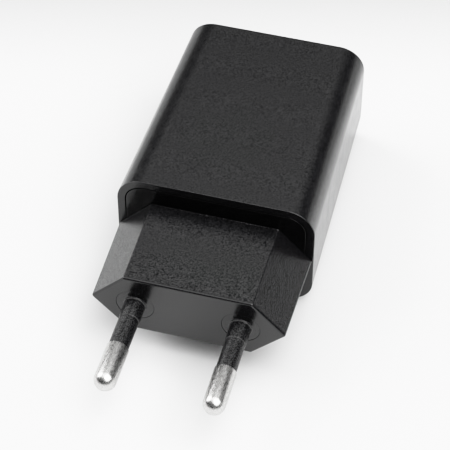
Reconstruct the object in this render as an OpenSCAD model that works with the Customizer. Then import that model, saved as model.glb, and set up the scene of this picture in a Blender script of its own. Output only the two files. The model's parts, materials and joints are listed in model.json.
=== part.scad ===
// USB wall charger with a flat two-pin plug.
// +Z is up, +Y runs from the pins to the USB port, X is across the pins.
// The origin is on the surface that the charger lies on, under the middle of its length.
// Inside each module y is the distance from the plug face; to_frame() moves it to the origin.

/* [Case] */
// Width of the case at its rim, on the plug side
rim_w = 36.4; // [35:0.1:38]
// Height of the case at its rim
rim_h = 23.2; // [23:0.1:25]
// Width of the case at the port end
end_w = 34.5; // [34.2:0.1:36]
// Height of the case at the port end
end_h = 21.9; // [21.8:0.1:24]
// Length of the case
case_len = 45.4; // [45.4:0.1:50]
// Radius of the four long corners
corner_r = 5.1; // [4.6:0.1:5.6]
// Thickness of the case's walls
wall = 1.5; // [1.3:0.1:1.6]

/* [Plug block] */
// How far the plug block stands in front of the case
block_len = 18; // [17:0.1:20]
// Width of the plug face across its two side corners
face_w = 35.4; // [35:0.1:36]
// Height of the plug face
face_h = 13.1; // [13:0.1:14]
// Width of the flat top and bottom at the plug face
face_flat = 23.0; // [22.5:0.1:23.5]
// Width of the block where it meets the case
base_w = 36.2; // [36:0.1:36.4]
// Height of the block where it meets the case
base_h = 13.7; // [13.5:0.1:14.5]
// Width of the flat top and bottom where the block meets the case
base_flat = 23.3; // [22.8:0.1:23.8]
// Height of the pins' plane above the underside
plug_z = 11.5; // [11.4:0.1:12]

/* [Pins] */
// Distance between the two pins' axes
pin_pitch = 19.1; // [18.6:0.1:19.2]
// How far the pins stand out of the plug face
pin_len = 19; // [18.5:0.1:19.5]
// Diameter of the bare metal end
pin_d = 4.0; // [3.94:0.01:4.06]
// Length of the bare metal end
bare_len = 9; // [8:0.1:10]
// Diameter of the insulating sleeve next to the face
sleeve_base_d = 3.8; // [3.7:0.05:3.8]
// Diameter of the insulating sleeve next to the metal
sleeve_tip_d = 3.6; // [3.5:0.05:3.7]

/* [USB port] */
// Width of the receptacle's metal shell
shell_w = 13.1; // [13:0.1:13.2]
// Height of the receptacle's metal shell
shell_h = 5.7; // [5.6:0.1:5.8]
// Height of the port's centre above the underside
port_z = 10.9; // [10.7:0.1:11.1]

/* [Circuit board] */
// Width of the main board
board_w = 30.4; // [30:0.1:30.5]
// Thickness of the main board
board_t = 1.2; // [1:0.1:1.2]
// Height of the main board's underside above the case's underside
board_z = 3.9; // [3.8:0.1:4]

/* [Hidden] */
$fn = 48;

// A length that reaches past a face so that a cut comes out clean
past = 1;
// Thickness of the thin slabs that a hull joins
skin = 0.01;

face_y = pin_len - (pin_len + block_len + case_len) / 2;
rim_y = block_len;
end_y = block_len + case_len;
pin_x = pin_pitch / 2;

// Edge breaks on the case
rim_edge = 0.15;
end_edge = 0.3;
end_wall = 1.6;

// End cap
cap_gap = 0.15;
cap_t = 1.6;
skirt_inset = 0.5;
skirt_t = 1.2;
skirt_len = 4;
latch_w = 8;
latch_t = 1;
latch_back = 2;
latch_rise = 0.8;
latch_gap = 0.2;

// Plug block
block_gap = 0.1;
block_edge = 0.35;
block_wall = 2.2;
front_wall = 3.2;
spigot_inset = 1.2;
spigot_half_w = 14.4;
cavity_half_w = 13.2;
spigot_end = 22.6;
catch_w = 6;
catch_t = 1;
catch_rise = 0.5;
catch_gap = 0.1;

// Pins, with their sleeves' flanges let into the plug face
flange_r = 3.45;
flange_t = 1.15;
flange_sink = 0.05;
pocket_r = 3.5;
pocket_t = flange_sink + flange_t;
core_r = 1.5;
core_gap = 0.02;
boss_r = 3.2;
boss_end = 7;
step_len = 3.7;
head_r = 2.3;
head_t = 1;
cup_r = 1.35;
cup_bore_r = 0.9;
cup_end = boss_end + head_t + 4;
cup_depth = 2.5;
cup_gap = 0.1;

// Mains wires
wire_r = 0.85;
strand_r = 0.45;
bend_r = 3;
wire_land_y = 25.6;
strip_len = 0.9;

// Main board and what stands on it
board_start = 24;
board_end = 61.4;
board_top = board_z + board_t;
lead_below = 0.9;
lead_in = 0.1;
hole_gap = 0.1;
solder_h = 0.6;
solder_rise = 0.1;
solder_spread = 0.55;
rail_x = 14.4;
rail_gap = 0.05;
rail_h = 1.1;
keeper_x = 14.6;
keeper_start = 52;
sheet_t = 0.25;
sheet_gap = 0.05;
sheet_half_w = 11.9;
sheet_start = 27;
sheet_end = 47;

mains_cap_x = 10.2;
mains_cap_y = 31.2;
mains_cap_r = 4;
mains_cap_h = 12;
mains_cap_pitch = 3.5;
output_cap_x = 11.9;
output_cap_y = 44.2;
output_cap_r = 3.15;
output_cap_h = 9;
output_cap_pitch = 2.5;
thin_lead_r = 0.25;
cap_lift = 0.2;
crimp_z = 1.2;
crimp_top = 1.9;
crimp_depth = 0.3;
rim_curl_w = 0.6;
rim_curl_h = 0.3;
fuse_x = -3.2;
fuse_y = 32.4;
fuse_r = 1.7;
fuse_h = 9;
fuse_lift = 0.5;
fuse_neck = 0.5;
fuse_loop_lift = 0.6;
fuse_lead_pitch = 2.6;
choke_x = 3.1;
choke_y = 32.2;
choke_r = 2.8;
choke_h = 7.5;
choke_lift = 0.3;
choke_cheek = 1.2;
choke_coil_inset = 0.45;
choke_pitch = 3;
disc_x = 11.4;
disc_y = 38.2;
disc_r = 3.1;
disc_t = 2.6;
disc_lift = 1.2;
disc_round = 0.5;
disc_pitch = 4;
bridge_y = 27;
bridge_half_w = 1.95;
bridge_half_d = 2.45;
bridge_h = 2.5;
bridge_lead_y = 1.3;
bridge_lead_w = 0.6;
bridge_lead_h = 0.9;
chip_y = 26.9;
chip_half_w = 1.95;
chip_half_d = 2.45;
chip_h = 1.4;
chip_pitch = 1.27;
chip_lead_w = 0.4;
chip_lead_h = 0.85;
foot_x = 2.4;
foot_t = 0.2;
foot_out = 0.5;
foot_toe = 0.7;
foot_toe_x = 0.8;
stand_off = 0.1;
chip_part_half_w = 0.65;
chip_part_half_d = 0.62;
chip_end_w = 0.35;
chip_resistor_h = 0.5;
chip_capacitor_h = 0.8;
chip_capacitor_x = 11;
diode_y = 55;
diode_half_w = 1.3;
diode_half_d = 2.15;
diode_h = 2.2;
diode_lift = 0.15;
diode_tab_half_w = 0.75;
diode_tab_t = 0.2;
diode_tab_h = 1.2;

// Transformer
tr_y = 41.6;
core_w = 16;
core_d = 4.8;
core_h = 13.6;
core_leg = 2;
core_base = 2;
core_z = board_top + 0.6;
core_mid = core_z + core_h / 2;
core_air = 0.05;
bobbin_z = core_z + core_base + 0.15;
bobbin_h = core_h - 2 * core_base - 0.3;
bobbin_wall = 0.6;
bobbin_fit = 0.15;
flange_half_w = 5.8;
flange_half_d = 6;
flange_plate = 0.8;
rail_from = 3;
winding_half_w = 5.2;
winding_half_d = 5.4;
winding_gap = 0.05;
winding_r = 1.5;
tape_t = 0.2;
core_tape_h = 5;
tr_pin_r = 0.3;
tr_pin_x = [-4.5, -1.5, 1.5, 4.5];
tr_pin_y = 4.5;
tr_pin_rise = 1.9;

// USB board and receptacle
usb_board_y = 48.2;
usb_board_t = 1;
usb_board_half_w = 9.5;
usb_board_top = 18.5;
tab_x = [-6.5, 6.5];
tab_w = 3;
tail_hole_r = 0.6;
shell_tab_h = 1.5;
shell_y = usb_board_y + usb_board_t + 0.1;
shell_t = 0.3;
shell_r = 0.6;
mouth_sink = 0.4;
mouth_y = end_y - mouth_sink;
window_gap = 0.2;
collar_t = 1;
collar_len = 3;
insulator_len = 1.9;
insulator_gap = 0.05;
insulator_front = shell_y + insulator_len;
tongue_half_w = 5.55;
tongue_t = 1.84;
tongue_len = 9.8;
tongue_drop = 0.66;
tongue_z = port_z + shell_h / 2 - shell_t - tongue_drop - tongue_t;
groove_w = 1.3;
groove_h = 1.05;
groove_end = 0.4;
contact_x = [-3.5, -1, 1, 3.5];
contact_w = 1;
contact_t = 0.2;
contact_lift = 0.35;
contact_start = insulator_front + 0.15;
tail_w = 0.8;
tail_gap = 0.05;
tail_back = 1.4;

// Leads through the main board: x, y, radius of each
LEADS = concat(
    [for (s = [-1, 1]) [s * pin_x, wire_land_y, strand_r]],
    [for (s = [-1, 1]) for (e = [-1, 1])
        [s * mains_cap_x, mains_cap_y + e * mains_cap_pitch / 2, thin_lead_r]],
    [for (s = [-1, 1]) for (e = [-1, 1])
        [s * output_cap_x, output_cap_y + e * output_cap_pitch / 2, thin_lead_r]],
    [for (e = [0, 1]) [fuse_x + e * fuse_lead_pitch, fuse_y, thin_lead_r]],
    [for (e = [-1, 1]) [choke_x, choke_y + e * choke_pitch / 2, thin_lead_r]],
    [for (e = [-1, 1]) [disc_x + e * disc_pitch / 2, disc_y, thin_lead_r]],
    [for (x = tr_pin_x) for (e = [-1, 1]) [x, tr_y + e * tr_pin_y, tr_pin_r]]
);

// Case width and height at a distance y from the plug face
function case_w(y) = rim_w + (end_w - rim_w) * (y - rim_y) / case_len;
function case_h(y) = rim_h + (end_h - rim_h) * (y - rim_y) / case_len;

// A flat hexagon with all six sides moved in by the same amount
function hex_slope(w, h, f) = atan2(h, w - f);
function hex_points(w, h, f, inset) =
    let (a = hex_slope(w, h, f))
    let (x = w / 2 - inset / sin(a))
    let (z = h / 2 - inset)
    let (t = x - z / tan(a))
    [[-x, 0], [-t, -z], [t, -z], [x, 0], [t, z], [-t, z]];

// Moves a module's geometry from the plug face to the origin
module to_frame() {
    translate([0, face_y, 0]) children();
}

// Extrudes an outline, drawn as x and z, from y0 to y1
module along_y(y0, y1) {
    translate([0, y1, 0]) rotate([90, 0, 0]) linear_extrude(y1 - y0) children();
}

// A cylinder along +Y that starts at y0
module rod_y(x, z, r, y0, y1) {
    translate([x, y1, z]) rotate([90, 0, 0]) cylinder(r = r, h = y1 - y0);
}

// A box between two corners
module block(low, high) {
    translate(low) cube(high - low);
}

// A rectangle with round corners, made of true arcs
module round_rect(x0, x1, z0, z1, r) {
    translate([x0 + r, z0]) square([x1 - x0 - 2 * r, z1 - z0]);
    translate([x0, z0 + r]) square([x1 - x0, z1 - z0 - 2 * r]);
    for (x = [x0 + r, x1 - r]) {
        for (z = [z0 + r, z1 - r]) {
            translate([x, z]) circle(r = r);
        }
    }
}

// One thin cross-section of the case
module case_slice(y, inset) {
    w = case_w(y) / 2 - inset;
    along_y(y, y + skin) round_rect(-w, w, inset, case_h(y) - inset, corner_r - inset);
}

module port_outline(grow) {
    w = shell_w / 2 + grow;
    h = shell_h / 2 + grow;
    translate([0, port_z]) round_rect(-w, w, -h, h, shell_r + grow);
}

module hex_prism(w, h, f, inset, y0, y1) {
    along_y(y0, y1) translate([0, plug_z]) polygon(hex_points(w, h, f, inset));
}

// ---- case ----

module case_skin() {
    hull() {
        case_slice(rim_y, rim_edge);
        case_slice(rim_y + rim_edge, 0);
        case_slice(end_y - end_edge, 0);
        case_slice(end_y - skin, end_edge);
    }
}

module case_hollow() {
    hull() {
        case_slice(rim_y - past, wall);
        case_slice(end_y - end_wall, wall);
    }
}

// Ledges under the main board and keepers over its far end, grown out of the side walls
module board_rails() {
    intersection() {
        hull() {
            case_slice(board_start + 1, wall / 2);
            case_slice(end_y - end_wall / 2, wall / 2);
        }
        for (s = [0, 1]) {
            mirror([s, 0, 0]) {
                block([rail_x, board_start + 1, wall / 2], [rim_w / 2, end_y, board_z - rail_gap]);
                translate([0, 0, board_top + rail_gap])
                    block([keeper_x, keeper_start, 0], [rim_w / 2, end_y, rail_h]);
            }
        }
    }
}

module port_collar() {
    along_y(end_y - end_wall - collar_len, end_y - end_wall / 2) port_outline(window_gap + collar_t);
}

module port_window() {
    along_y(end_y - end_wall - collar_len - past, end_y + past) port_outline(window_gap);
    hull() {
        along_y(end_y - mouth_sink, end_y - mouth_sink + skin) port_outline(window_gap);
        along_y(end_y, end_y + skin) port_outline(window_gap + mouth_sink);
    }
}

// Pockets in the top and bottom walls that the end cap's latches snap into
module latch_pockets() {
    x = latch_w / 2 + latch_gap;
    y0 = rim_y + cap_t + latch_back - latch_gap;
    y1 = y0 + latch_t + 2 * latch_gap;
    low = wall + skirt_inset - latch_rise - cap_gap;
    high = rim_h - low;
    block([-x, y0, low], [x, y1, wall + past]);
    block([-x, y0, rim_h - wall - past], [x, y1, high]);
}

module housing_sleeve() {
    color("#1c1c1e") to_frame() difference() {
        union() {
            difference() {
                case_skin();
                case_hollow();
            }
            board_rails();
            port_collar();
        }
        port_window();
        latch_pockets();
    }
}

module end_cap() {
    in = wall + cap_gap;
    skirt = wall + skirt_inset;
    inner = skirt + skirt_t;
    half = rim_w / 2;
    skirt_y = rim_y + cap_t;
    latch_y = skirt_y + latch_back;
    color("#151516") to_frame() difference() {
        union() {
            along_y(rim_y, skirt_y)
                round_rect(in - half, half - in, in, rim_h - in, corner_r - in);
            along_y(skirt_y, skirt_y + skirt_len)
                round_rect(skirt - half, half - skirt, skirt, rim_h - skirt, corner_r - skirt);
            block([-latch_w / 2, latch_y, skirt - latch_rise], [latch_w / 2, latch_y + latch_t, skirt]);
            block([-latch_w / 2, latch_y, rim_h - skirt],
                  [latch_w / 2, latch_y + latch_t, rim_h - skirt + latch_rise]);
        }
        along_y(skirt_y, skirt_y + skirt_len + past)
            round_rect(inner - half, half - inner, inner, rim_h - inner, corner_r - inner);
        intersection() {
            hex_prism(base_w, base_h, base_flat, spigot_inset - cap_gap, rim_y - past, skirt_y + past);
            block([-spigot_half_w - cap_gap, 0, 0], [spigot_half_w + cap_gap, end_y, rim_h]);
        }
    }
}

// ---- plug ----

module plug_skin() {
    hull() {
        hex_prism(face_w, face_h, face_flat, block_edge, 0, skin);
        hex_prism(face_w, face_h, face_flat, 0, block_edge, block_edge + skin);
        hex_prism(base_w, base_h, base_flat, 0, block_len - block_gap - skin, block_len - block_gap);
    }
}

module plug_spigot() {
    z = base_h / 2 - spigot_inset;
    catch_y = rim_y + cap_t + catch_gap;
    intersection() {
        hex_prism(base_w, base_h, base_flat, spigot_inset, block_len - past, spigot_end);
        block([-spigot_half_w, 0, 0], [spigot_half_w, end_y, rim_h]);
    }
    for (s = [-1, 1]) {
        translate([-catch_w / 2, catch_y, plug_z + s * z - catch_rise])
            cube([catch_w, catch_t, 2 * catch_rise]);
    }
}

module plug_cavity() {
    intersection() {
        hex_prism(face_w, face_h, face_flat, block_wall, front_wall, spigot_end + past);
        block([-cavity_half_w, 0, 0], [cavity_half_w, end_y, rim_h]);
    }
}

module plug_block() {
    color("#19191a") to_frame() difference() {
        union() {
            difference() {
                union() {
                    plug_skin();
                    plug_spigot();
                }
                plug_cavity();
            }
            for (x = [-pin_x, pin_x]) {
                rod_y(x, plug_z, boss_r, front_wall - past, boss_end);
            }
        }
        for (x = [-pin_x, pin_x]) {
            rod_y(x, plug_z, pocket_r, -past, pocket_t);
            rod_y(x, plug_z, core_r + core_gap, 0, boss_end + past);
        }
    }
}

// Metal pin: round nose, bare end, thin core, riveted head and solder cup
module pin(x) {
    r = pin_d / 2;
    color("#c9cacb") to_frame() difference() {
        union() {
            translate([x, r - pin_len, plug_z]) sphere(r = r);
            rod_y(x, plug_z, r, r - pin_len, bare_len - pin_len);
            rod_y(x, plug_z, core_r, bare_len - pin_len, boss_end);
            rod_y(x, plug_z, head_r, boss_end, boss_end + head_t);
            rod_y(x, plug_z, cup_r, boss_end, cup_end);
        }
        rod_y(x, plug_z, cup_bore_r, cup_end - cup_depth, cup_end + past);
    }
}

// Moulded insulating sleeve round the pin's core, with a flange in the plug face
module pin_sleeve(x) {
    color("#1a1a1b") to_frame() difference() {
        union() {
            rod_y(x, plug_z, sleeve_tip_d / 2, bare_len - pin_len, 0);
            rod_y(x, plug_z, sleeve_base_d / 2, -step_len, flange_sink);
            rod_y(x, plug_z, flange_r, flange_sink, pocket_t);
        }
        rod_y(x, plug_z, core_r + core_gap, -pin_len, pocket_t + past);
    }
}

// Insulated wire from a pin's cup, round one bend, down into the main board
module mains_wire(x, shade) {
    turn_y = wire_land_y - bend_r;
    turn_z = plug_z - bend_r;
    color(shade) to_frame() {
        rod_y(x, plug_z, strand_r, cup_end - cup_depth + cup_gap, cup_end + cup_gap);
        rod_y(x, plug_z, wire_r, cup_end + cup_gap, turn_y);
        translate([x, turn_y, turn_z]) rotate([90, 0, 90])
            rotate_extrude(angle = 90) translate([bend_r, 0]) circle(r = wire_r);
        translate([x, wire_land_y, board_top + strip_len])
            cylinder(r = wire_r, h = turn_z - board_top - strip_len);
        translate([x, wire_land_y, board_z - lead_below])
            cylinder(r = strand_r, h = board_t + lead_below + strip_len);
    }
}

// ---- main board ----

module main_board() {
    color("#b79a5b") to_frame() difference() {
        block([-board_w / 2, board_start, board_z], [board_w / 2, board_end, board_top]);
        for (p = LEADS) {
            translate([p[0], p[1], board_z - past]) cylinder(r = p[2] + hole_gap, h = board_t + 2 * past);
        }
        for (x = tab_x) {
            block([x - tab_w / 2 - hole_gap, usb_board_y - hole_gap, board_z - past],
                  [x + tab_w / 2 + hole_gap, usb_board_y + usb_board_t + hole_gap, board_top + past]);
        }
    }
}

// A cone of solder round each lead, under the main board
module solder_joints() {
    color("#b8bcc0") to_frame() for (p = LEADS) {
        translate([p[0], p[1], board_z - solder_h]) difference() {
            cylinder(r1 = p[2] + solder_rise, r2 = p[2] + solder_spread, h = solder_h);
            translate([0, 0, -past]) cylinder(r = p[2] + core_gap, h = solder_h + 2 * past);
        }
    }
}

// Thin sheet of insulation between the case's floor and the solder side
module insulation_sheet() {
    color("#d8d2bd") to_frame()
        block([-sheet_half_w, sheet_start, wall + sheet_gap],
              [sheet_half_w, sheet_end, wall + sheet_gap + sheet_t]);
}

// A bent foot beside a surface-mounted body: out, down, and out again along the board at z = 0
module foot(side, w, h) {
    translate([-foot_out, -w / 2, h - foot_t]) cube([2 * foot_out, w, foot_t]);
    translate([side * foot_out - foot_t / 2, -w / 2, 0]) cube([foot_t, w, h]);
    translate([side * foot_toe_x - foot_toe / 2, -w / 2, 0]) cube([foot_toe, w, foot_t]);
}

// Four-lead surface-mounted bridge
module bridge_rectifier() {
    color("#222224") to_frame() translate([0, bridge_y, board_top]) {
        block([-bridge_half_w, -bridge_half_d, stand_off],
              [bridge_half_w, bridge_half_d, stand_off + bridge_h]);
        for (side = [-1, 1]) {
            for (y = [-bridge_lead_y, bridge_lead_y]) {
                translate([side * foot_x, y, 0]) foot(side, bridge_lead_w, bridge_lead_h);
            }
        }
    }
}

// Wire-wound fusible resistor on end, its top lead looped back down
module fuse_resistor() {
    loop_r = fuse_lead_pitch / 2;
    body_z = board_top + fuse_lift;
    top = body_z + fuse_h + fuse_loop_lift;
    color("#4f7d62") to_frame() translate([fuse_x, fuse_y, 0]) {
        translate([0, 0, body_z]) cylinder(r = fuse_r, h = fuse_h);
        translate([0, 0, body_z + fuse_h]) cylinder(r1 = fuse_r * 0.8, r2 = thin_lead_r, h = fuse_neck);
        translate([0, 0, board_z - lead_below]) cylinder(r = thin_lead_r, h = top - board_z + lead_below);
        translate([loop_r, 0, top]) rotate([90, 0, 0])
            rotate_extrude(angle = 180) translate([loop_r, 0]) circle(r = thin_lead_r);
        translate([fuse_lead_pitch, 0, board_z - lead_below])
            cylinder(r = thin_lead_r, h = top - board_z + lead_below);
    }
}

// Drum choke: ferrite flanges with a coil between them
module filter_choke() {
    color("#4a4b4e") to_frame() translate([choke_x, choke_y, 0]) {
        translate([0, 0, board_top + choke_lift]) {
            cylinder(r = choke_r, h = choke_cheek);
            cylinder(r = choke_r - choke_coil_inset, h = choke_h);
            translate([0, 0, choke_h - choke_cheek]) cylinder(r = choke_r, h = choke_cheek);
        }
        for (e = [-1, 1]) {
            translate([0, e * choke_pitch / 2, board_z - lead_below])
                cylinder(r = thin_lead_r, h = board_t + lead_below + choke_lift + lead_in);
        }
    }
}

// Radial electrolytic capacitor with a crimp groove and a recessed top
module electrolytic(x, y, r, h, pitch, shade) {
    foot_z = board_top + cap_lift;
    color(shade) to_frame() translate([x, y, 0]) {
        difference() {
            translate([0, 0, foot_z]) {
                cylinder(r = r, h = crimp_z);
                cylinder(r = r - crimp_depth, h = crimp_top);
                translate([0, 0, crimp_top]) cylinder(r = r, h = h - crimp_top);
            }
            translate([0, 0, foot_z + h - rim_curl_h]) cylinder(r = r - rim_curl_w, h = past);
        }
        for (e = [-1, 1]) {
            translate([0, e * pitch / 2, board_z - lead_below])
                cylinder(r = thin_lead_r, h = board_t + lead_below + cap_lift + lead_in);
        }
    }
}

// Eight-lead controller under the main board
module controller_chip() {
    color("#1f1f21") to_frame() translate([0, chip_y, board_z]) mirror([0, 0, 1]) {
        block([-chip_half_w, -chip_half_d, stand_off], [chip_half_w, chip_half_d, stand_off + chip_h]);
        for (side = [-1, 1]) {
            for (i = [0:3]) {
                translate([side * foot_x, (i - 1.5) * chip_pitch, 0]) foot(side, chip_lead_w, chip_lead_h);
            }
        }
    }
}

// One small two-ended chip part, lying on the plane z = 0
module chip_part(h) {
    block([-chip_part_half_w, -chip_part_half_d, 0], [chip_part_half_w, chip_part_half_d, h]);
    for (s = [0, 1]) {
        mirror([s, 0, 0])
            block([chip_part_half_w, -chip_part_half_d, 0],
                  [chip_part_half_w + chip_end_w, chip_part_half_d, h]);
    }
}

module chip_resistors() {
    color("#26262a") to_frame() for (x = [-8:4:8]) {
        translate([x, tr_y, board_z - chip_resistor_h]) chip_part(chip_resistor_h);
    }
}

module chip_capacitors() {
    color("#b59a72") to_frame() for (y = [52:3:58]) {
        translate([chip_capacitor_x, y, board_top]) chip_part(chip_capacitor_h);
    }
}

// ---- transformer ----

// Half of an E core: a base with three legs, standing at z = 0
module e_core() {
    leg_h = core_h / 2 - core_base;
    block([-core_w / 2, -core_d / 2, 0], [core_w / 2, core_d / 2, core_base]);
    for (s = [-1, 1]) {
        translate([s * (core_w - core_leg) / 2 - core_leg / 2, -core_d / 2, core_base])
            cube([core_leg, core_d, leg_h]);
    }
    translate([-core_leg, -core_d / 2, core_base]) cube([2 * core_leg, core_d, leg_h - core_air]);
}

module transformer_core_lower() {
    color("#3a3b3d") to_frame() translate([0, tr_y, core_z]) e_core();
}

module transformer_core_upper() {
    color("#3a3b3d") to_frame() translate([0, tr_y, core_z + core_h]) mirror([0, 0, 1]) e_core();
}

module transformer_bobbin() {
    in_w = core_leg + bobbin_fit;
    in_d = core_d / 2 + bobbin_fit;
    out_w = in_w + bobbin_wall;
    out_d = in_d + bobbin_wall;
    color("#2b2a2c") to_frame() translate([0, tr_y, bobbin_z]) difference() {
        union() {
            block([-out_w, -out_d, 0], [out_w, out_d, bobbin_h]);
            for (z = [0, bobbin_h - flange_plate]) {
                block([-flange_half_w, -flange_half_d, z], [flange_half_w, flange_half_d, z + flange_plate]);
            }
            for (s = [0, 1]) {
                mirror([0, s, 0])
                    block([-flange_half_w, rail_from, board_top - bobbin_z], [flange_half_w, flange_half_d, 0]);
            }
        }
        block([-in_w, -in_d, -past], [in_w, in_d, bobbin_h + past]);
        for (x = tr_pin_x) {
            for (s = [-1, 1]) {
                translate([x, s * tr_pin_y, board_top - bobbin_z - past])
                    cylinder(r = tr_pin_r + core_gap, h = tr_pin_rise + past);
            }
        }
    }
}

module transformer_pins() {
    color("#c5c7c9") to_frame() for (x = tr_pin_x) {
        for (s = [-1, 1]) {
            translate([x, tr_y + s * tr_pin_y, board_z - lead_below])
                cylinder(r = tr_pin_r, h = board_t + lead_below + tr_pin_rise);
        }
    }
}

module transformer_winding() {
    inner_w = core_leg + bobbin_fit + bobbin_wall + winding_gap;
    inner_d = core_d / 2 + bobbin_fit + bobbin_wall + winding_gap;
    z0 = bobbin_z + flange_plate + winding_gap;
    z1 = bobbin_z + bobbin_h - flange_plate - winding_gap;
    color("#a5562b") to_frame() translate([0, tr_y, z0]) linear_extrude(z1 - z0) difference() {
        round_rect(-winding_half_w, winding_half_w, -winding_half_d, winding_half_d, winding_r);
        square([2 * inner_w, 2 * inner_d], center = true);
    }
}

module winding_tape() {
    edge = 0.3;
    z0 = bobbin_z + flange_plate + edge;
    z1 = bobbin_z + bobbin_h - flange_plate - edge;
    w = winding_half_w + winding_gap;
    d = winding_half_d + winding_gap;
    color("#d9b93a") to_frame() translate([0, tr_y, z0]) linear_extrude(z1 - z0) difference() {
        round_rect(-w - tape_t, w + tape_t, -d - tape_t, d + tape_t, winding_r + tape_t);
        round_rect(-w, w, -d, d, winding_r);
    }
}

// Tape pulled round the core's outer legs and over the winding
module tape_outline(grow) {
    x = core_w / 2 + winding_gap + grow;
    y = core_d / 2 + grow;
    far_y = winding_half_d + 2 * winding_gap + tape_t + 0.1 + grow;
    far_x = winding_half_w + grow / 2;
    polygon([
        [x, -y], [x, y], [far_x, far_y], [-far_x, far_y],
        [-x, y], [-x, -y], [-far_x, -far_y], [far_x, -far_y]
    ]);
}

module core_tape() {
    color("#e0c146") to_frame() translate([0, tr_y, core_mid - core_tape_h / 2])
        linear_extrude(core_tape_h) difference() {
            tape_outline(tape_t);
            tape_outline(0);
        }
}

// ---- output side ----

// Disc capacitor standing on two leads
module safety_capacitor() {
    disc_z = board_top + disc_lift + disc_r;
    color("#2f6fae") to_frame() {
        rod_y(disc_x, disc_z, disc_r, disc_y - disc_t / 2 + disc_round, disc_y + disc_t / 2 - disc_round);
        rod_y(disc_x, disc_z, disc_r - disc_round, disc_y - disc_t / 2, disc_y + disc_t / 2);
        for (e = [-1, 1]) {
            translate([disc_x + e * disc_pitch / 2, disc_y, board_z - lead_below])
                cylinder(r = thin_lead_r, h = disc_z - board_z + lead_below);
        }
    }
}

// Output diode, lying under the USB receptacle
module output_rectifier() {
    color("#202022") to_frame() translate([0, diode_y, board_top]) {
        block([-diode_half_w, -diode_half_d, diode_lift], [diode_half_w, diode_half_d, diode_h]);
        for (s = [0, 1]) {
            mirror([0, s, 0]) {
                block([-diode_tab_half_w, diode_half_d, 0],
                      [diode_tab_half_w, diode_half_d + diode_tab_t, diode_tab_h]);
                block([-diode_tab_half_w, diode_half_d - 1, 0],
                      [diode_tab_half_w, diode_half_d + diode_tab_t, diode_lift]);
            }
        }
    }
}

module usb_board() {
    color("#2d6b46") to_frame() difference() {
        union() {
            block([-usb_board_half_w, usb_board_y, board_top],
                  [usb_board_half_w, usb_board_y + usb_board_t, usb_board_top]);
            for (x = tab_x) {
                block([x - tab_w / 2, usb_board_y, board_z - lead_below + shell_t],
                      [x + tab_w / 2, usb_board_y + usb_board_t, board_top]);
            }
        }
        for (x = contact_x) {
            rod_y(x, tongue_z + contact_lift + contact_t / 2, tail_hole_r, usb_board_y - past, shell_y + past);
        }
        for (s = [-1, 1]) {
            x = s * (shell_w - shell_t) / 2;
            block([x - shell_t, usb_board_y - past, port_z - shell_tab_h / 2 - shell_t / 2],
                  [x + shell_t, shell_y + past, port_z + shell_tab_h / 2 + shell_t / 2]);
        }
    }
}

// Drawn steel shell with a pair of retention fingers cut in its top and bottom
module usb_shell() {
    finger_x = 3.1;
    finger_w = 1.5;
    finger_len = 5;
    finger_back = 2;
    slit = 0.3;
    color("#b9bbbd") to_frame() {
        difference() {
            along_y(shell_y, mouth_y) difference() {
                port_outline(0);
                port_outline(-shell_t);
            }
            for (x = [-finger_x, finger_x]) {
                translate([x, mouth_y - finger_back - finger_len, port_z - shell_h]) difference() {
                    translate([-finger_w / 2 - slit, -slit, 0])
                        cube([finger_w + 2 * slit, finger_len + slit, 2 * shell_h]);
                    translate([-finger_w / 2, 0, 0]) cube([finger_w, finger_len, 2 * shell_h]);
                }
            }
        }
        for (s = [-1, 1]) {
            x = s * (shell_w - shell_t) / 2;
            block([x - shell_t / 2, usb_board_y - shell_t, port_z - shell_tab_h / 2],
                  [x + shell_t / 2, shell_y, port_z + shell_tab_h / 2]);
        }
    }
}

// Moulded base and tongue, with a groove for each contact
module usb_insulator() {
    tail_z = tongue_z + contact_lift;
    color("#e9e8e3") to_frame() difference() {
        union() {
            along_y(shell_y, insulator_front) port_outline(-shell_t - insulator_gap);
            block([-tongue_half_w, insulator_front - past, tongue_z],
                  [tongue_half_w, insulator_front + tongue_len, tongue_z + tongue_t]);
        }
        for (x = contact_x) {
            block([x - groove_w / 2, insulator_front, tongue_z - past],
                  [x + groove_w / 2, insulator_front + tongue_len - groove_end, tongue_z + groove_h]);
            block([x - tail_w / 2 - tail_gap, shell_y - past, tail_z - tail_gap],
                  [x + tail_w / 2 + tail_gap, insulator_front + past, tail_z + contact_t + tail_gap]);
        }
    }
}

// The fixed end of each contact, from the insulator's front through the USB board
module usb_contact_tails() {
    z = tongue_z + contact_lift;
    color("#c9a24a") to_frame() for (x = contact_x) {
        block([x - tail_w / 2, shell_y - tail_back, z], [x + tail_w / 2, insulator_front, z + contact_t]);
    }
}

// The springy end of a contact: level in its groove, bowed below the tongue, hooked up at the tip
module usb_contact(i) {
    top = contact_lift + contact_t;
    outline = [
        [0, contact_lift], [4.1, contact_lift], [6.9, -0.55], [7.6, -0.55], [8.85, 0.1],
        [8.85, 0.1 + contact_t], [7.5, -0.55 + contact_t], [7.0, -0.55 + contact_t], [4.2, top], [0, top]
    ];
    color("#d2ab4f") to_frame() translate([contact_x[i] - contact_w / 2, contact_start, tongue_z])
        rotate([90, 0, 90]) linear_extrude(contact_w) polygon(outline);
}

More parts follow.
